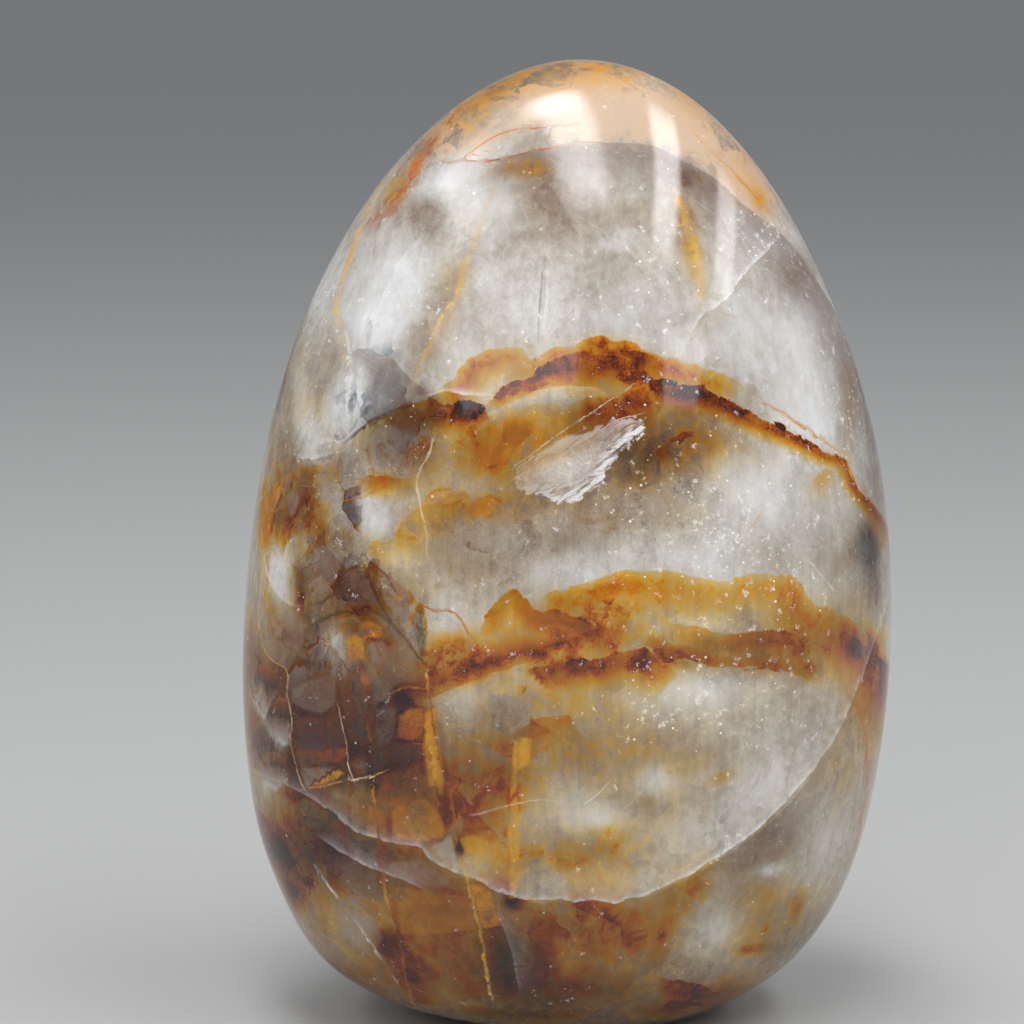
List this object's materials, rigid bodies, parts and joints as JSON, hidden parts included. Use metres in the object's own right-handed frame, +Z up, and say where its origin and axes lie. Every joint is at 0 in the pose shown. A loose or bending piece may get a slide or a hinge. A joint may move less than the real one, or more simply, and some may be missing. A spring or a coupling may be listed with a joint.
{
  "type": "golden healer quartz freeform",
  "caption": "Polished egg-shaped freeform of milky quartz with golden and rust-brown iron staining, standing upright on a small flat ground into its underside.",
  "frame": {"origin": "under the middle of the stone's width and depth, on the surface that it stands on", "axes": "+Z up along the height, +X to the right of the broad front face, -Y out of the front face"},
  "size_m": [0.101, 0.073, 0.15],
  "materials": {
    "iron_stained_quartz": "polished"
  },
  "bodies": {
    "root": {"quartz_stone": "iron_stained_quartz"}
  },
  "joints": []
}
